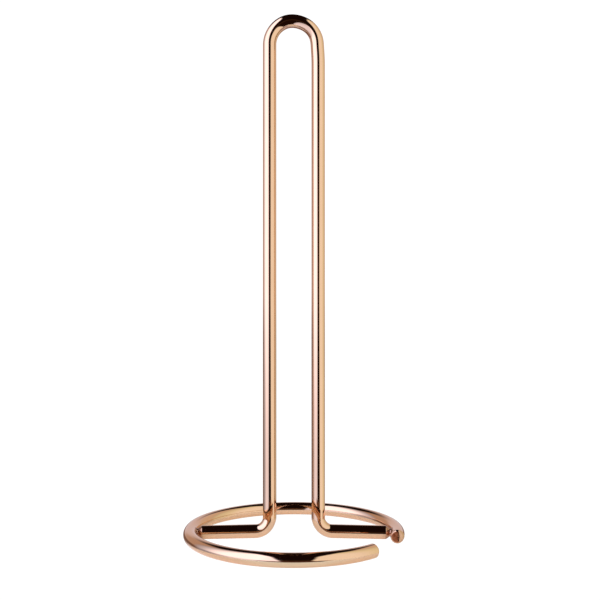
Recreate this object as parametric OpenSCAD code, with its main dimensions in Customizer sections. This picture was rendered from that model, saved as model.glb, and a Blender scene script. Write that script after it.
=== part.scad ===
// Paper towel stand of round wire: an upright loop for the roll, welded inside a flat open ring.
// Millimetres. Origin on the table under the ring's centre, +Z up, -Y towards the ring's open side.

/* [Wire] */
// Diameter of the round wire that the loop and the ring are bent from (mm)
wire_d = 8; // [7:0.5:10]

/* [Ring] */
// Outer diameter of the ring (mm)
ring_od = 131; // [110:1:170]
// Direction of the ring's right end, counter-clockwise from +X (degrees)
ring_start = -12.5; // [-60:0.5:-5]
// Angle that the ring's wire covers before it stops short of a full turn (degrees)
ring_sweep = 329; // [270:0.5:340]
// Chamfer on each cut end of the ring (mm)
ring_chamfer = 0.8; // [0.2:0.1:1.5]

/* [Upright loop] */
// Height from the table to the top of the loop (mm)
height = 311.5; // [260:0.5:350]
// Distance between the two legs, centre-line to centre-line (mm)
leg_spacing = 28.8; // [20:0.2:40]
// Centre-line radius of the bend between each leg and its foot (mm)
foot_bend_r = 8.5; // [6:0.5:10]
// Downward slope of each foot, which keeps the bends clear of the table (degrees)
foot_slope = 1.25; // [1.21, 1.25, 1.79, 2.05]
// Distance that the upright stands in front of the ring's centre (mm)
upright_forward = 2.5; // [0:0.5:6]
// Length of the taper on each foot's tip (mm)
tip_taper = 2; // [1:0.1:3]
// Diameter of the flat left on each foot's tip (mm)
tip_d = 5; // [3:0.1:5]

/* [Welds] */
// Gap that each weld fills between the foot's tip and the ring (mm)
weld_gap = 0.9; // [0.5:0.1:2]
// Growth in each weld's radius for every millimetre towards the ring (mm)
weld_flare = 0.2; // [0:0.05:0.2]

/* [Hidden] */
$fn = 240;
wire_r = wire_d / 2;
tip_r = tip_d / 2;
ring_r = ring_od / 2 - wire_r;
leg_x = leg_spacing / 2;
top_bend_z = height - wire_r - leg_x;
// where each foot's centre-line would meet the ring's inner wall
wall_x = sqrt(pow(ring_r - wire_r, 2) - pow(upright_forward, 2));
// where the straight part of each foot begins
foot_x = leg_x + foot_bend_r * (1 - sin(foot_slope));
foot_z = wire_r + (wall_x - foot_x) * tan(foot_slope);
foot_length = (wall_x - foot_x) / cos(foot_slope) - weld_gap;
leg_length = top_bend_z - foot_z - foot_bend_r * cos(foot_slope);
// each weld is drawn on into the ring's wire, and the wire is then taken out of it
weld_reach = weld_gap + wire_r / 2;
plating = [0.85, 0.62, 0.53];
weld_plating = [0.78, 0.55, 0.46];

// straight wire from the origin up +Z
module straight_wire(length) {
  cylinder(h = length, r = wire_r);
}

// wire bent about the origin in the XZ plane, its angles measured from +X towards +Z
module bent_wire(bend_r, from, sweep) {
  rotate([90, 0, 0])
    rotate([0, 0, from])
      rotate_extrude(angle = sweep)
        translate([bend_r, 0])
          circle(r = wire_r);
}

// puts its children where the straight part of the +X foot begins, with +Z along the foot
module foot_frame() {
  translate([leg_x + foot_bend_r, 0, -leg_length])
    rotate([0, foot_slope, 0])
      translate([0, 0, -foot_bend_r])
        rotate([0, 90, 0])
          children();
}

// leg, bend and tapered foot on the +X side, hanging from the end of the top bend
module leg_and_foot() {
  translate([leg_x, 0, -leg_length])
    straight_wire(leg_length);
  translate([leg_x + foot_bend_r, 0, -leg_length])
    bent_wire(foot_bend_r, 180, 90 - foot_slope);
  foot_frame() {
    straight_wire(foot_length - tip_taper);
    translate([0, 0, foot_length - tip_taper])
      cylinder(h = tip_taper, r1 = wire_r, r2 = tip_r);
  }
}

// what a chamfer takes off the ring's end in a given direction: side is 1 where the wire
// runs counter-clockwise from that end, and -1 where it runs clockwise
module chamfer_waste(direction, side) {
  rotate([0, 0, direction])
    translate([ring_r, 0, 0])
      rotate([90 * side, 0, 0])
        translate([0, 0, -2 * ring_chamfer])
          difference() {
            cylinder(h = 3 * ring_chamfer, r = wire_d);
            cylinder(h = 3 * ring_chamfer, r1 = wire_r + ring_chamfer, r2 = wire_r - 2 * ring_chamfer);
          }
}

// weld between the +X foot's tip and the ring's inner wall
module foot_weld() {
  difference() {
    translate([0, -upright_forward, top_bend_z])
      foot_frame()
        translate([0, 0, foot_length])
          cylinder(h = weld_reach, r1 = tip_r, r2 = tip_r + weld_reach * weld_flare);
    translate([0, 0, wire_r])
      rotate_extrude()
        translate([ring_r, 0])
          circle(r = wire_r);
  }
}

// one wire: a hairpin bend at the top, two legs, and a foot turned outward below each leg
module upright_loop() {
  color(plating)
    translate([0, -upright_forward, top_bend_z])
      union() {
        bent_wire(leg_x, 0, 180);
        leg_and_foot();
        mirror([1, 0, 0])
          leg_and_foot();
      }
}

// flat ring of wire with a gap at its front right
module base_ring() {
  color(plating)
    translate([0, 0, wire_r])
      difference() {
        rotate([0, 0, ring_start])
          rotate_extrude(angle = ring_sweep)
            translate([ring_r, 0])
              circle(r = wire_r);
        chamfer_waste(ring_start, 1);
        chamfer_waste(ring_start + ring_sweep, -1);
      }
}

module left_foot_weld() {
  color(weld_plating)
    mirror([1, 0, 0])
      foot_weld();
}

module right_foot_weld() {
  color(weld_plating)
    foot_weld();
}

upright_loop();
base_ring();
left_foot_weld();
right_foot_weld();
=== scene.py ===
"""Paper towel stand: an upright loop of plated wire, welded inside a flat open ring."""

import math

import bpy
import bmesh
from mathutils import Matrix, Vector


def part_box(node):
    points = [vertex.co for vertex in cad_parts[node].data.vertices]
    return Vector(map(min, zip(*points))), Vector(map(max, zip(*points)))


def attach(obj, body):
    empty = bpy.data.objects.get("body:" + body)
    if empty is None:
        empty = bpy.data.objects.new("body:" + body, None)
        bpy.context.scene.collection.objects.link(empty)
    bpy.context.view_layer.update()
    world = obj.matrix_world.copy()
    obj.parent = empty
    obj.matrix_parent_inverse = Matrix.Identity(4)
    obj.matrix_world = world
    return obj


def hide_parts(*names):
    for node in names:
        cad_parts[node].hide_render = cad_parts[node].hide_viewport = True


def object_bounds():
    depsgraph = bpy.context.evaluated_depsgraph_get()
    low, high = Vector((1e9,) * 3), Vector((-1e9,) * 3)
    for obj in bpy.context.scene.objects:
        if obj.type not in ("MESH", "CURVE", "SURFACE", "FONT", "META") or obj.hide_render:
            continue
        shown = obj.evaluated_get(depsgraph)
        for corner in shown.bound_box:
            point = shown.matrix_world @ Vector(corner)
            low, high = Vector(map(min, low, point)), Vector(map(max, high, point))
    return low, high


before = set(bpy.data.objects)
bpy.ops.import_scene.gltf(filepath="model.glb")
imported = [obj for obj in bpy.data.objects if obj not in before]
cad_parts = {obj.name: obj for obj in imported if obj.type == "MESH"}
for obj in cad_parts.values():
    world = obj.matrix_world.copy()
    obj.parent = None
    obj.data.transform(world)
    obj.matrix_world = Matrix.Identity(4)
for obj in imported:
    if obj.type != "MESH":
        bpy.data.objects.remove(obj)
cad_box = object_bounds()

# ---------------------------------------------------------------------------------------------
# Sizes, in metres and degrees. What the CAD's boxes can tell is read from them, and the rest
# repeats its driving dimensions.
# ---------------------------------------------------------------------------------------------
RING_LOW, RING_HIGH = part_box("base_ring")
LOOP_LOW, LOOP_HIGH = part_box("upright_loop")
WIRE_R = (RING_HIGH.z - RING_LOW.z) / 2

RING_Z = (RING_HIGH.z + RING_LOW.z) / 2
RING_R = -RING_LOW.x - WIRE_R
RING_START = -12.5
RING_SWEEP = 329.0
RING_CHAMFER = 0.0008

LOOP_Y = (LOOP_HIGH.y + LOOP_LOW.y) / 2
LEG_X = 0.0144
TOP_BEND_Z = LOOP_HIGH.z - WIRE_R - LEG_X
FOOT_BEND_R = 0.0085
FOOT_SLOPE = 1.25
TIP_TAPER = 0.002
TIP_R = 0.0025
WELD_GAP = 0.0009
# where each foot's centre-line would meet the ring's inner side
WALL_X = math.sqrt((RING_R - WIRE_R) ** 2 - LOOP_Y**2)

# ---------------------------------------------------------------------------------------------
# Marks of the making, which only this model has
# ---------------------------------------------------------------------------------------------
# widths over which the tips' tapers and the ring's chamfers are rounded
TIP_ROUNDING = 0.0004
CHAMFER_ROUNDING = 0.0003

# how much a bend squeezes the wire in its own plane and lets it spread sideways, and the share
# of the bend over which that grows from nothing at each end
BEND_SQUEEZE = 0.02
BEND_SPREAD = 0.01
BEND_EASE = 0.25

# the top bend's right shoulder is pressed in a little: how far, and in degrees its middle
# measured from straight up, its reach to each side and the width over which it fades
PRESS = 0.00062
PRESS_AT = 52.0
PRESS_SPREAD = 78.0
PRESS_FADE = 50.0

# the ring's right end: the cut leans, and the shears rolled its outer side back. The roll
# starts a little out from the face's middle, covers the bare metal over its fade, curves over
# its width, and dies out along the wire over its reach
CUT_LEAN = 0.06
ROLL_START = 0.0006
ROLL_FADE = 0.0007
ROLL_CURVE = 320.0
ROLL_WIDTH = 0.0009
ROLL_REACH = 0.0045

# a cut end from its middle out: share of the flat's radius, share of the rounded edge's depth,
# and how bare the metal is
EDGE_DEPTH = 0.00012
FACE_PROFILE = (
    (0.35, 0.0, 1.0),
    (0.75, 0.0, 1.0),
    (0.97, 0.0, 1.0),
    (1.0, 0.04, 1.0),
    (1.02, 0.15, 0.5),
    (1.033, 0.45, 0.5),
)

# where heat has marked the wire: from each foot's tip, and on the ring's right end
HEAT_REACH = 0.0036
HEAT_FADE = 0.0024
END_HEAT = 0.45
END_HEAT_REACH = 1.6 * RING_CHAMFER

# the weld is sunk a little into the foot's tip, narrow up to its waist, and bites into the ring
WELD_SINK = 0.00015
WELD_START_R = TIP_R - 0.00012
WELD_WAIST_R = TIP_R - 0.00008
WELD_WAIST_AT = 0.6
WELD_END_R = 0.0031
WELD_BITE = 0.00004
WELD_BROAD_LUMP = 0.00005
WELD_SMALL_LUMP = 0.00003
WELD_RIPPLE = 0.000022

# ---------------------------------------------------------------------------------------------
# Fineness of the meshes
# ---------------------------------------------------------------------------------------------
SIDES = 72
WELD_ROWS = 22

# longest steps along a wire, in metres, and round a bend, in degrees
LONG_STEP = 0.0025
FINE_STEP = 0.00012
ROLL_STEP = 3 * FINE_STEP
BEND_STEP = 2.5

# how far the fine steps go on from each foot's tip and from each end of the ring
FINE_TIP = 1.5 * TIP_TAPER
FINE_END = 1.6 * RING_CHAMFER

# the place where a weld meets the ring is found by halving a range again and again
LONGEST_WELD = 0.004
HALVINGS = 40

# one metre in millimetres, and one radian in degrees
MM = 1000.0
RADIAN = math.degrees(1)


# ---------------------------------------------------------------------------------------------
# Mesh helpers
# ---------------------------------------------------------------------------------------------
def smooth(x):
    """0 below 0, 1 above 1, and an S between."""
    x = min(1.0, max(0.0, x))
    return x * x * (3 - 2 * x)


def soft_min(a, b, width):
    """The smaller of two numbers, with the corner between them rounded over that width."""
    h = max(width - abs(a - b), 0.0) / width
    return min(a, b) - h * h * width / 4


def steps(length, longest):
    """Distances from 0 to length, no further apart than longest."""
    count = max(1, math.ceil(length / longest))
    return [length * i / count for i in range(count + 1)]


def turns():
    """The angles of one row's vertices round the wire."""
    return [2 * math.pi * i / SIDES for i in range(SIDES)]


def in_mm(x, y, z):
    """A place on a wire in millimetres, which is what the materials' patterns are made for."""
    return Vector((MM * x, MM * y, MM * z))


def skin(bm, rows):
    """Faces between neighbouring rows of vertices, each row closed on itself."""
    for a, b in zip(rows, rows[1:]):
        for i in range(SIDES):
            j = (i + 1) % SIDES
            bm.faces.new((a[i], a[j], b[j], b[i]))


def cap(bm, row, middle):
    """A fan of faces that closes a row. Returns the vertex at its middle."""
    hub = bm.verts.new(middle)
    for i in range(SIDES):
        bm.faces.new((row[i], row[(i + 1) % SIDES], hub))
    return hub


def as_object(name, bm):
    """An object in the scene that holds the mesh."""
    mesh = bpy.data.meshes.new(name)
    bm.to_mesh(mesh)
    bm.free()
    made = bpy.data.objects.new(name, mesh)
    bpy.context.scene.collection.objects.link(made)
    return made


def as_piece(name, bm):
    """The same for a closed skin, smoothly shaded, with its faces turned outward."""
    bmesh.ops.recalc_face_normals(bm, faces=bm.faces)
    for face in bm.faces:
        face.smooth = True
    return as_object(name, bm)


# ---------------------------------------------------------------------------------------------
# Wires
# ---------------------------------------------------------------------------------------------
class Station:
    """One cross-section of a wire: where it is, how it turns, how thick and how marked it is."""

    def __init__(self, centre, across, up, along, travelled, flat=0.0):
        self.centre = centre
        self.across = across
        self.up = up
        self.along = along
        self.travelled = travelled
        self.flat = flat
        self.radius = WIRE_R
        self.shift = 0.0
        self.sheared = 0.0
        self.cut = 0.0
        self.heat = 0.0

    def fallen(self, out):
        """How far the sheared end falls back, at a distance out from the middle of its face."""
        past = max(out - ROLL_START, 0.0)
        curved = min(past, ROLL_WIDTH)
        roll = ROLL_CURVE * curved * (2 * past - curved)
        return self.sheared * (CUT_LEAN * out + roll)

    def bare(self, out):
        """1 where the end shows cut metal, 0 on the plated side that the shears rolled back."""
        return 1 - self.sheared * smooth((out - ROLL_START) / ROLL_FADE)

    def point(self, turn):
        """The wire's surface at an angle round it."""
        out = self.radius * (1 - BEND_SQUEEZE * self.flat) * math.cos(turn)
        rise = self.radius * (1 + BEND_SPREAD * self.flat) * math.sin(turn)
        shift = self.shift + self.fallen(out)
        return self.centre + self.along * shift + self.across * out + self.up * rise


def wire_mesh(name, stations):
    """Closed skin over a row of stations. Each vertex keeps its place along and round the wire."""
    bm = bmesh.new()
    place = bm.verts.layers.float_vector.new("wire_place")
    cut = bm.verts.layers.float.new("cut_face")
    heat = bm.verts.layers.float.new("weld_heat")
    rows = []
    for st in stations:
        row = []
        for turn in turns():
            out = st.radius * math.cos(turn)
            vert = bm.verts.new(st.point(turn))
            vert[place] = in_mm(out, st.radius * math.sin(turn), st.travelled)
            vert[cut] = st.cut * st.bare(out)
            vert[heat] = st.heat
            row.append(vert)
        rows.append(row)
    skin(bm, rows)
    for st, row in ((stations[0], rows[0]), (stations[-1], rows[-1])):
        hub = cap(bm, row, st.centre + st.along * st.shift)
        hub[place] = in_mm(0, 0, st.travelled)
        hub[cut] = st.cut
        hub[heat] = st.heat
    return as_piece(name, bm)


def loop_stations():
    """From the left foot's tip, up the left leg, over the top and down to the right foot's tip."""
    slope = math.radians(FOOT_SLOPE)
    foot_x = LEG_X + FOOT_BEND_R * (1 - math.sin(slope))
    foot_z = RING_Z + (WALL_X - foot_x) * math.tan(slope)
    foot_length = (WALL_X - foot_x) / math.cos(slope) - WELD_GAP
    leg_length = TOP_BEND_Z - foot_z - FOOT_BEND_R * math.cos(slope)
    tip_x = -foot_x - foot_length * math.cos(slope)
    here = Vector((tip_x, LOOP_Y, foot_z - foot_length * math.sin(slope)))
    heading = slope
    travelled = 0.0
    found = []

    def ahead():
        return Vector((math.cos(heading), 0, math.sin(heading)))

    def left():
        return Vector((-math.sin(heading), 0, math.cos(heading)))

    def add(flat):
        towards_front = Vector((0, -1, 0))
        found.append(Station(here.copy(), left(), towards_front, ahead(), travelled, flat))

    def line(distances):
        nonlocal here, travelled
        start, begun = here.copy(), travelled
        for d in distances[1:]:
            here = start + ahead() * d
            travelled = begun + d
            add(0.0)

    def bend(radius, turn):
        nonlocal here, heading, travelled
        side = math.copysign(1.0, turn)
        hub = here + left() * (side * radius)
        begun, first = travelled, heading
        for d in steps(abs(turn), math.radians(BEND_STEP))[1:]:
            heading = first + side * d
            here = hub - left() * (side * radius)
            travelled = begun + radius * d
            share = d / abs(turn)
            add(smooth(share / BEND_EASE) * smooth((1 - share) / BEND_EASE))

    fine = steps(FINE_TIP, FINE_STEP)
    plain = steps(foot_length - fine[-1], LONG_STEP)
    quarter = math.pi / 2 - slope
    add(0.0)
    line(fine + [fine[-1] + d for d in plain[1:]])
    bend(FOOT_BEND_R, quarter)
    line(steps(leg_length, LONG_STEP))
    bend(LEG_X, -math.pi)
    line(steps(leg_length, LONG_STEP))
    bend(FOOT_BEND_R, quarter)
    line(plain + [foot_length - d for d in reversed(fine[:-1])])
    for st in found:
        from_tip = min(st.travelled, travelled - st.travelled)
        taper = TIP_R + (WIRE_R - TIP_R) * from_tip / TIP_TAPER
        st.radius = soft_min(WIRE_R, taper, TIP_ROUNDING)
        st.heat = smooth((HEAT_REACH - from_tip) / HEAT_FADE)
        turned = math.degrees(math.atan2(st.centre.x, st.centre.z - TOP_BEND_Z))
        pressed = smooth((PRESS_SPREAD - abs(turned - PRESS_AT)) / PRESS_FADE)
        st.centre -= st.across * (PRESS * pressed)
    return found


def ring_stations():
    """Round the ring, counter-clockwise from its right end, with chamfered cut ends."""
    length = RING_R * math.radians(RING_SWEEP)
    fine = steps(FINE_END, FINE_STEP)
    rolling = [fine[-1] + d for d in steps(ROLL_REACH - fine[-1], ROLL_STEP)[1:]]
    plain = steps(length - ROLL_REACH - fine[-1], LONG_STEP)
    distances = fine + rolling + [ROLL_REACH + d for d in plain[1:-1]]
    distances += [length - d for d in reversed(fine)]
    up = Vector((0, 0, 1))
    found = []
    for d in distances:
        angle = math.radians(RING_START) + d / RING_R
        out = Vector((math.cos(angle), math.sin(angle), 0))
        along = Vector((-math.sin(angle), math.cos(angle), 0))
        st = Station(out * RING_R + up * RING_Z, out, up, along, d)
        from_end = min(d, length - d)
        st.radius = soft_min(WIRE_R, WIRE_R - RING_CHAMFER + from_end, CHAMFER_ROUNDING)
        st.sheared = smooth(1 - d / ROLL_REACH)
        st.heat = END_HEAT * smooth((END_HEAT_REACH - d) / RING_CHAMFER)
        found.append(st)
    return end_face(found[0], 1) + found + end_face(found[-1], -1)[::-1]


def end_face(last, side):
    """A cut end's flat and rounded edge, from the middle out. side points into the wire."""
    flat_r = last.radius - EDGE_DEPTH
    found = []
    for share, rise, bare in FACE_PROFILE:
        st = Station(last.centre, last.across, last.up, last.along, last.travelled)
        st.radius = flat_r * share
        st.shift = side * EDGE_DEPTH * (rise - 0.5)
        st.sheared = last.sheared
        st.heat = last.heat
        st.cut = bare
        found.append(st)
    return found


# ---------------------------------------------------------------------------------------------
# Welds
# ---------------------------------------------------------------------------------------------
def weld_lumps(turn, side):
    """The weld's uneven far edge: broad and small lumps, which fall differently on each side."""
    broad = WELD_BROAD_LUMP * math.sin(5 * turn + 1.3 + side)
    small = WELD_SMALL_LUMP * math.sin(11 * turn + 4 * side)
    return broad + small


def weld_ripple(turn, along):
    """Ripples in the weld's neck, strongest half-way from the foot to the ring."""
    wave = math.sin(14 * along + 1.5 * math.sin(3 * turn))
    return WELD_RIPPLE * wave * 4 * along * (1 - along)


def weld_piece(name, side):
    """Weld neck from a foot's tip to the ring's inner side. Its far edge lies on the ring."""
    slope = math.radians(FOOT_SLOPE)
    ahead = Vector((side * math.cos(slope), 0, -math.sin(slope)))
    back = Vector((0, 1, 0))
    up = Vector((side * math.sin(slope), 0, math.cos(slope)))
    tip = Vector((side * WALL_X, LOOP_Y, RING_Z)) - ahead * WELD_GAP

    def point(turn, distance, radius):
        around = back * math.cos(turn) + up * math.sin(turn)
        return tip + ahead * distance + around * radius

    def to_ring(turn, radius):
        """How far ahead of the tip the ring's surface lies at that angle and radius."""
        low, high = 0.0, LONGEST_WELD
        for _ in range(HALVINGS):
            middle = (low + high) / 2
            p = point(turn, middle, radius)
            if math.hypot(math.hypot(p.x, p.y) - RING_R, p.z - RING_Z) > WIRE_R:
                low = middle
            else:
                high = middle
        return high

    bm = bmesh.new()
    place = bm.verts.layers.float_vector.new("wire_place")
    rows = []
    for k in range(WELD_ROWS + 1):
        along = k / WELD_ROWS
        row = []
        for turn in turns():
            end_r = WELD_END_R + weld_lumps(turn, side)
            end = to_ring(turn, end_r) + WELD_BITE
            first = Vector((-WELD_SINK, WELD_START_R)) * (1 - along) ** 2
            waist = Vector((WELD_WAIST_AT * end, WELD_WAIST_R)) * (2 * along * (1 - along))
            distance, radius = first + waist + Vector((end, end_r)) * along**2
            radius += weld_ripple(turn, along)
            vert = bm.verts.new(point(turn, distance, radius))
            vert[place] = in_mm(radius * math.cos(turn), radius * math.sin(turn), distance)
            row.append(vert)
        rows.append(row)
    skin(bm, rows)
    for row in (rows[0], rows[-1]):
        cap(bm, row, sum((vert.co for vert in row), Vector()) / SIDES)
    return as_piece(name, bm)


# ---------------------------------------------------------------------------------------------
# Node helpers
# ---------------------------------------------------------------------------------------------
class Nodes:
    """A small builder over one node tree. Inputs are numbers, tuples or other nodes' outputs."""

    def __init__(self, tree):
        self.tree = tree

    def add(self, kind, settings=None, **inputs):
        """A new node. An input goes by its name, or by its number as i0, i1 and so on."""
        made = self.tree.nodes.new(kind)
        for key, value in (settings or {}).items():
            setattr(made, key, value)
        for key, value in inputs.items():
            numbered = key[0] == "i" and key[1:].isdigit()
            self.set(made, int(key[1:]) if numbered else key, value)
        return made

    def set(self, made, key, value):
        socket = made.inputs[key]
        if isinstance(value, bpy.types.NodeSocket):
            self.tree.links.new(value, socket)
        else:
            socket.default_value = value

    def math(self, operation, a, b=0.0):
        return self.add("ShaderNodeMath", {"operation": operation}, i0=a, i1=b).outputs[0]

    def product(self, first, *others):
        for other in others:
            first = self.math("MULTIPLY", first, other)
        return first

    def total(self, first, *others):
        for other in others:
            first = self.math("ADD", first, other)
        return first

    def minus(self, a, b):
        return self.math("SUBTRACT", a, b)

    def vector_math(self, operation, a, b, output="Vector"):
        settings = {"operation": operation}
        return self.add("ShaderNodeVectorMath", settings, i0=a, i1=b).outputs[output]

    def scaled(self, colour, amount):
        settings = {"operation": "SCALE"}
        return self.add("ShaderNodeVectorMath", settings, i0=colour, Scale=amount).outputs[0]

    def split(self, vector):
        return self.add("ShaderNodeSeparateXYZ", Vector=vector).outputs[:3]

    def ramp(self, value, low, high, to_low=0.0, to_high=1.0):
        """A smooth step from to_low at low to to_high at high."""
        settings = {"interpolation_type": "SMOOTHSTEP"}
        return self.add(
            "ShaderNodeMapRange", settings, i0=value, i1=low, i2=high, i3=to_low, i4=to_high
        ).outputs[0]

    def mix(self, factor, a, b):
        """Colour a where the factor is 0, b where it is 1."""
        return self.add("ShaderNodeMix", {"data_type": "RGBA"}, i0=factor, i6=a, i7=b).outputs[2]

    def mix_shader(self, factor, a, b):
        return self.add("ShaderNodeMixShader", Fac=factor, i1=a, i2=b).outputs[0]

    def attribute(self, name, output="Fac"):
        return self.add("ShaderNodeAttribute", {"attribute_name": name}).outputs[output]

    def noise(self, place, scale, detail, rough):
        """Noise over a place in mm. scale is one number, or one each across, up and along."""
        if isinstance(scale, tuple):
            place, scale = self.vector_math("MULTIPLY", place, scale), 1.0
        return self.add(
            "ShaderNodeTexNoise", Vector=place, Scale=scale, Detail=detail, Roughness=rough
        ).outputs["Fac"]

    def bump(self, height, depth, strength):
        return self.add(
            "ShaderNodeBump", Strength=strength, Distance=depth, Height=height
        ).outputs[0]

    def camera_sees(self, seen, reflected):
        """One colour for the camera's own rays, another for what the metal reflects."""
        own = self.add("ShaderNodeLightPath").outputs["Is Camera Ray"]
        return self.mix(own, reflected, seen)


# ---------------------------------------------------------------------------------------------
# Materials. A fade here and below is where it starts and ends, and what it is worth at each if
# not 0 and 1.
# ---------------------------------------------------------------------------------------------
ROSE = (0.765, 0.485, 0.300, 1)
ROSE_DEEP = (0.715, 0.440, 0.265, 1)
CUT_TONE = (0.50, 0.16, 0.06, 1)
CUT_DARK = (0.30, 0.075, 0.025, 1)
WELD_TONE = (0.74, 0.46, 0.32, 1)
WELD_HEAT = (0.30, 0.12, 0.06, 1)
BURNT = (0.30, 0.13, 0.07, 1)

# noises: scale in patterns per mm (one number, or one each across, up and along), detail and
# roughness
CLOUD = (0.045, 3.0, 0.55)
HAZE = (0.35, 4.0, 0.6)
DRAWN = ((4.0, 4.0, 0.02), 1.0, 0.5)
WAVE = ((0.10, 0.10, 0.05), 1.0, 0.4)
SCORCH = (0.55, 3.0, 0.6)
SAWN = ((9.0, 0.4, 9.0), 2.0, 0.6)
SPATTER = (1.3, 3.0, 0.6)
GRAIN = (1.1, 3.0, 0.6)
BEAD = ((0.5, 0.5, 1.6), 2.0, 0.5)

# fades of the noises
SCORCHED = (0.38, 0.62)
BURNING = (0.25, 0.5, 0.3, 1.0)
POLISH = (0.3, 0.75, 0.04, 0.075)
DRAWN_ROUGHNESS = (0.5, 0.8, 0.0, 0.02)
HEAT_MARKS = (0.42, 0.58)
WELD_ROUGHNESS = (0.3, 0.75, 0.05, 0.16)
CUT_ROUGHNESS = 0.20

# bumps: depth, strength, and how much each mark adds to the height next to the wave or bead
WIRE_BUMP = 0.00006
WIRE_BUMP_STRENGTH = 0.5
WELD_BUMP = 0.00035
WELD_BUMP_STRENGTH = 1.0
DRAWN_SHARE = 0.006
SAWN_SHARE = 0.12
SPATTER_SHARE = 2.5
GRAIN_SHARE = 0.6


def metal(name):
    made = bpy.data.materials.new(name)
    made.use_nodes = True
    shader = made.node_tree.nodes["Principled BSDF"]
    shader.inputs["Metallic"].default_value = 1.0
    return made, Nodes(made.node_tree), shader


def plated_wire():
    """Rose-gold plating over drawn, polished wire: bare where it was cut, burnt near a weld."""
    made, n, shader = metal("plated_wire")
    place = n.attribute("wire_place", "Vector")
    cut = n.attribute("cut_face")
    heat = n.attribute("weld_heat")
    cloud = n.noise(place, *CLOUD)
    haze = n.noise(place, *HAZE)
    drawn = n.noise(place, *DRAWN)

    scorched = n.ramp(n.noise(place, *SCORCH), *SCORCHED)
    burning = n.product(heat, n.ramp(haze, *BURNING))
    plated = n.mix(burning, n.mix(cloud, ROSE, ROSE_DEEP), BURNT)
    n.set(shader, "Base Color", n.mix(cut, plated, n.mix(scorched, CUT_TONE, CUT_DARK)))

    polish = n.ramp(haze, *POLISH)
    lines = n.ramp(drawn, *DRAWN_ROUGHNESS)
    n.set(shader, "Roughness", n.total(polish, lines, n.product(cut, CUT_ROUGHNESS)))

    height = n.total(
        n.product(drawn, DRAWN_SHARE),
        n.noise(place, *WAVE),
        n.product(n.noise(place, *SAWN), cut, SAWN_SHARE),
        n.product(n.noise(place, *SPATTER), heat, SPATTER_SHARE),
    )
    n.set(shader, "Normal", n.bump(height, WIRE_BUMP, WIRE_BUMP_STRENGTH))
    return made


def plated_weld():
    """The same plating over the weld's rough, heat-marked surface."""
    made, n, shader = metal("plated_weld")
    place = n.attribute("wire_place", "Vector")
    grain = n.noise(place, *GRAIN)
    n.set(shader, "Base Color", n.mix(n.ramp(grain, *HEAT_MARKS), WELD_TONE, WELD_HEAT))
    n.set(shader, "Roughness", n.ramp(grain, *WELD_ROUGHNESS))
    height = n.total(n.product(grain, GRAIN_SHARE), n.noise(place, *BEAD))
    n.set(shader, "Normal", n.bump(height, WELD_BUMP, WELD_BUMP_STRENGTH))
    return made


# ---------------------------------------------------------------------------------------------
# Studio. Azimuth is 0 towards the camera's side (-Y) and grows towards +X. Angles are in
# degrees.
# ---------------------------------------------------------------------------------------------
CAMERA_AT = (0.0036, -0.553, 0.1418)
CAMERA_LENS = 55.7
CAMERA_SENSOR = 36.0
CAMERA_NEAR = 0.01
CAMERA_FAR = 20.0

WHITE = (1.06, 1.06, 1.06, 1)
DARK = (0.010, 0.004, 0.003, 1)
DARK_LOW = (0.046, 0.024, 0.014, 1)
DARK_GROUND = (0.016, 0.006, 0.003, 1)
WALL_LEFT = (0.58, 0.44, 0.38, 1)
WALL_RIGHT = (0.78, 0.67, 0.58, 1)
WALL_BACK = (0.76, 0.68, 0.74, 1)
GROUND_LEFT = (0.22, 0.14, 0.11, 1)
GROUND_RIGHT = (0.62, 0.56, 0.50, 1)
GROUND_BACK = (0.26, 0.15, 0.11, 1)
LEFT_LIGHT = (1.86, 2.08, 2.95)
RIGHT_LIGHT = (1.17, 1.23, 1.27, 1)
RIGHT_LIGHT_FAR = (1.24, 1.31, 1.08, 1)

# fades of the room by azimuth or height, of WALL_TOP by how far below the wall's slanting top,
# and of GROUND_FRONT by how far towards the back
RIGHT_SIDE = (-20, 20)
STRAIGHT_BEHIND = (142, 160)
DARK_RISE = (4, 17, 1.0, 0.0)
WALL_SIDES = (95, 125)
WALL_LOW_PART = (18, 42, 1.0, 0.0)
WALL_TOP = (-0.15, 0.15)
WALL_TOP_SLOPE = 1.2
WALL_TOP_SLOPE_RIGHT = 0.8
GROUND_EDGE = (-3.0, 1.0, 1.0, 0.0)
GROUND_FRONT = (-0.15, 0.05, 1.0, 0.0)

# the two panels, as panel() explains
RIGHT_PANEL = {"side": 1, "inner": 18, "lean": 0.17, "spread": 0.7, "outer": 118, "slope": 2.5}
LEFT_PANEL = {"side": -1, "inner": 13.5, "lean": 0.20, "spread": 0.0, "outer": 115, "slope": 2.8}

# fades of the two panels' light
RIGHT_FAR_PART = (70, 95)
RIGHT_DIM = (58, 118, 1.0, 0.66)
LEFT_DIM_NEAR = (-40, -14, 1.0, 0.80)
LEFT_DIM_LOW = (-12, 2, 0.62, 1.0)
LEFT_DIM_FAR = (0.34, 1.0)
LEFT_DIM_FAR_START = (-8, 2, -104, -112)
LEFT_DIM_FAR_END = (-8, 2, -52, -72)

# the panels' soft edges
PANEL_INNER = (-0.044, 0.044)
PANEL_OUTER = (-8, 8, 1.0, 0.0)
PANEL_TOP = (-0.12, 0.12)
PANEL_OWN_SIDE = (2, 8)

FLOOR_FRONT = -0.112
FLOOR_EDGE = -0.079
FLOOR_BACK = 0.30
FLOOR_SIDE = 0.50
FLOOR_TONE = (0.86, 0.86, 0.86, 1)
FLOOR_ROUGHNESS = 0.8
# the floor's glow, painted light that only the metal's reflections see: by the stand, towards its
# front, and far off
FLOOR_LIT = (0.42, 0.42, 0.38, 1)
FLOOR_LIT_FRONT = (0.36, 0.56, 0.60, 1)
FLOOR_FAR_GLOW = (0.05, 0.04, 0.07, 1)
# a dark strip of painted shade in front of the stand, for the metal's reflections
FLOOR_SHADE_STRIP = (0.16, 0.08, 0.05, 1)

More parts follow.
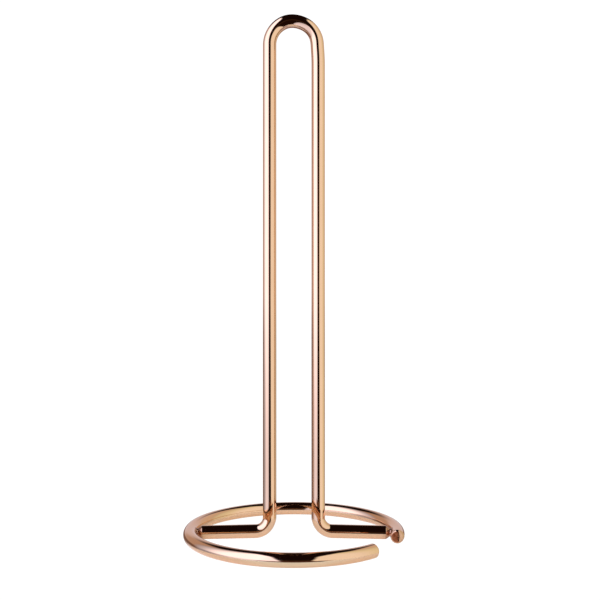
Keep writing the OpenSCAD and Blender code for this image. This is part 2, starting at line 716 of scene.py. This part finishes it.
# fades of the floor: by y, by distance from LIT_MIDDLE, by y again, by distance aside, and for
# LOW_ANGLE by how far it faces away
LIT_FRONT = (-0.072, -0.055, 1.0, 0.0)
LIT_MIDDLE = (0, -0.02, 0)
LIT_REACH = (0.09, 0.17)
PAST_EDGE = (FLOOR_EDGE - 0.001, FLOOR_EDGE + 0.001, 1.0, 0.0)
STRIP_WIDTH = (0.030, 0.050, 1.0, 0.0)
LOW_ANGLE = (0.58, 0.78)


class Room:
    """The direction in which the world is looked at, measured in several ways."""

    def __init__(self, n):
        self.way = n.add("ShaderNodeTexCoord").outputs["Generated"]
        x, self.y, self.z = n.split(self.way)
        self.azimuth = n.product(n.math("ARCTAN2", x, n.product(self.y, -1.0)), RADIAN)
        self.height = n.product(n.math("ARCSINE", self.z), RADIAN)
        self.aside = n.math("ABSOLUTE", self.azimuth)
        self.sideways = n.math("ABSOLUTE", x)
        self.above = n.math("MAXIMUM", self.z, 0.0)
        self.beneath = n.math("MINIMUM", self.z, 0.0)
        self.right_side = n.ramp(self.azimuth, *RIGHT_SIDE)
        self.straight_behind = n.ramp(self.aside, *STRAIGHT_BEHIND)


def walls(n, room):
    """A dark room with a pale wall behind the stand."""
    wall = n.mix(room.right_side, WALL_LEFT, WALL_RIGHT)
    wall = n.mix(room.straight_behind, wall, WALL_BACK)
    slope = n.total(n.product(room.right_side, WALL_TOP_SLOPE_RIGHT), WALL_TOP_SLOPE)
    under_top = n.minus(n.product(room.sideways, slope), room.z)
    low_part = n.ramp(room.height, *WALL_LOW_PART)
    inside = n.math("MAXIMUM", n.ramp(under_top, *WALL_TOP), low_part)
    inside = n.product(inside, n.ramp(room.aside, *WALL_SIDES))
    dark = n.mix(n.ramp(room.height, *DARK_RISE), DARK, DARK_LOW)
    return n.mix(inside, dark, wall)


def ground(n, room):
    """What lies beyond the table top: dark in front, paler to the right and behind."""
    colour = n.mix(room.right_side, GROUND_LEFT, GROUND_RIGHT)
    colour = n.mix(room.straight_behind, colour, GROUND_BACK)
    return n.mix(n.ramp(room.y, *GROUND_FRONT), colour, DARK_GROUND)


def panel(n, room, side, inner, lean, spread, outer, slope):
    """1 inside a tall soft panel, 0 outside. side is 1 for the right one, -1 for the left one.

    inner and outer are its edges' azimuths. The inner edge moves outward by lean above the
    horizon and by spread below it. The top rises with slope, away from straight ahead.
    """
    facing = (side * math.cos(math.radians(inner)), math.sin(math.radians(inner)), 0)
    edge = n.vector_math("DOT_PRODUCT", room.way, facing, "Value")
    edge = n.minus(edge, n.product(room.above, lean))
    edge = n.total(edge, n.product(room.beneath, spread))
    own_side = n.product(room.azimuth, side)
    under_top = n.minus(n.product(room.sideways, slope), room.z)
    return n.product(
        n.ramp(edge, *PANEL_INNER),
        n.ramp(own_side, *PANEL_OWN_SIDE),
        n.ramp(n.minus(own_side, outer), *PANEL_OUTER),
        n.ramp(under_top, *PANEL_TOP),
    )


def right_light(n, room):
    light = n.mix(n.ramp(room.azimuth, *RIGHT_FAR_PART), RIGHT_LIGHT, RIGHT_LIGHT_FAR)
    return n.scaled(light, n.ramp(room.azimuth, *RIGHT_DIM))


def left_light(n, room):
    start = n.ramp(room.height, *LEFT_DIM_FAR_START)
    end = n.ramp(room.height, *LEFT_DIM_FAR_END)
    amount = n.product(
        n.ramp(room.azimuth, *LEFT_DIM_NEAR),
        n.ramp(room.azimuth, start, end, *LEFT_DIM_FAR),
        n.ramp(room.height, *LEFT_DIM_LOW),
    )
    return n.scaled(LEFT_LIGHT, amount)


def studio_world():
    """White to the camera. The metal sees two tall soft panels, a pale wall and a dark room."""
    world = bpy.data.worlds.new("studio")
    bpy.context.scene.world = world
    world.use_nodes = True
    n = Nodes(world.node_tree)
    room = Room(n)
    colour = n.mix(n.ramp(room.height, *GROUND_EDGE), walls(n, room), ground(n, room))
    colour = n.mix(panel(n, room, **RIGHT_PANEL), colour, right_light(n, room))
    colour = n.mix(panel(n, room, **LEFT_PANEL), colour, left_light(n, room))
    n.set(world.node_tree.nodes["Background"], "Color", n.camera_sees(WHITE, colour))


def floor_mesh():
    bm = bmesh.new()
    corners = (
        (-FLOOR_SIDE, FLOOR_FRONT),
        (FLOOR_SIDE, FLOOR_FRONT),
        (FLOOR_SIDE, FLOOR_BACK),
        (-FLOOR_SIDE, FLOOR_BACK),
    )
    bm.faces.new([bm.verts.new((x, y, cad_box[0].z)) for x, y in corners])
    return as_object("floor", bm)


def floor_material():
    """Pale, and evenly white to the camera. What the metal sees of it glows with painted light
    that fades with distance from the stand.
    """
    made = bpy.data.materials.new("pale_floor")
    made.use_nodes = True
    n = Nodes(made.node_tree)
    shader = made.node_tree.nodes["Principled BSDF"]
    shader.inputs["Base Color"].default_value = FLOOR_TONE
    shader.inputs["Roughness"].default_value = FLOOR_ROUGHNESS
    shader.inputs["Specular IOR Level"].default_value = 0.0
    shader.inputs["Emission Strength"].default_value = 1.0
    position = n.add("ShaderNodeNewGeometry").outputs["Position"]
    x, y, _ = n.split(position)
    away = n.vector_math("DISTANCE", position, LIT_MIDDLE, "Value")
    seen = n.mix(n.ramp(y, *LIT_FRONT), FLOOR_LIT, FLOOR_LIT_FRONT)
    seen = n.mix(n.ramp(away, *LIT_REACH), seen, FLOOR_FAR_GLOW)
    n.set(shader, "Emission Color", n.camera_sees(WHITE, seen))

    # at a low angle, and in front of the edge, the room shows as in a mirror
    facing = n.add("ShaderNodeLayerWeight", Blend=0.5).outputs["Facing"]
    past_edge = n.ramp(y, *PAST_EDGE)
    clear = n.math("MAXIMUM", n.ramp(facing, *LOW_ANGLE), past_edge)
    open_room = n.add("ShaderNodeBsdfTransparent").outputs[0]
    top = n.mix_shader(clear, shader.outputs[0], open_room)

    # past the edge, straight in front of the stand, a dark strip of painted shade, which only the
    # metal's reflections see
    strip = n.add("ShaderNodeEmission", Color=n.camera_sees(WHITE, FLOOR_SHADE_STRIP)).outputs[0]
    in_strip = n.product(past_edge, n.ramp(n.math("ABSOLUTE", x), *STRIP_WIDTH))
    output = made.node_tree.nodes["Material Output"]
    n.set(output, "Surface", n.mix_shader(in_strip, top, strip))
    return made


def pale_floor():
    floor = floor_mesh()
    floor.data.materials.append(floor_material())


def studio_camera():
    """Level, looking along +Y."""
    data = bpy.data.cameras.new("camera")
    data.lens = CAMERA_LENS
    data.sensor_width = CAMERA_SENSOR
    data.clip_start = CAMERA_NEAR
    data.clip_end = CAMERA_FAR
    camera = bpy.data.objects.new("camera", data)
    camera.location = CAMERA_AT
    camera.rotation_euler = (math.radians(90), 0, 0)
    bpy.context.scene.collection.objects.link(camera)
    bpy.context.scene.camera = camera


# ---------------------------------------------------------------------------------------------
# The stand
# ---------------------------------------------------------------------------------------------
studio_camera()
studio_world()
pale_floor()
bpy.context.scene.view_settings.view_transform = "Standard"

wire_finish = plated_wire()
weld_finish = plated_weld()

stand = [
    (wire_mesh("loop_wire", loop_stations()), "upright_loop", wire_finish, "plated_wire"),
    (wire_mesh("ring_wire", ring_stations()), "base_ring", wire_finish, "plated_wire"),
    (weld_piece("left_weld", -1), "left_foot_weld", weld_finish, "plated_weld"),
    (weld_piece("right_weld", 1), "right_foot_weld", weld_finish, "plated_weld"),
]
for piece, node, finish, slot in stand:
    piece.data.materials.append(finish)
    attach(piece, "root")
    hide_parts(node)
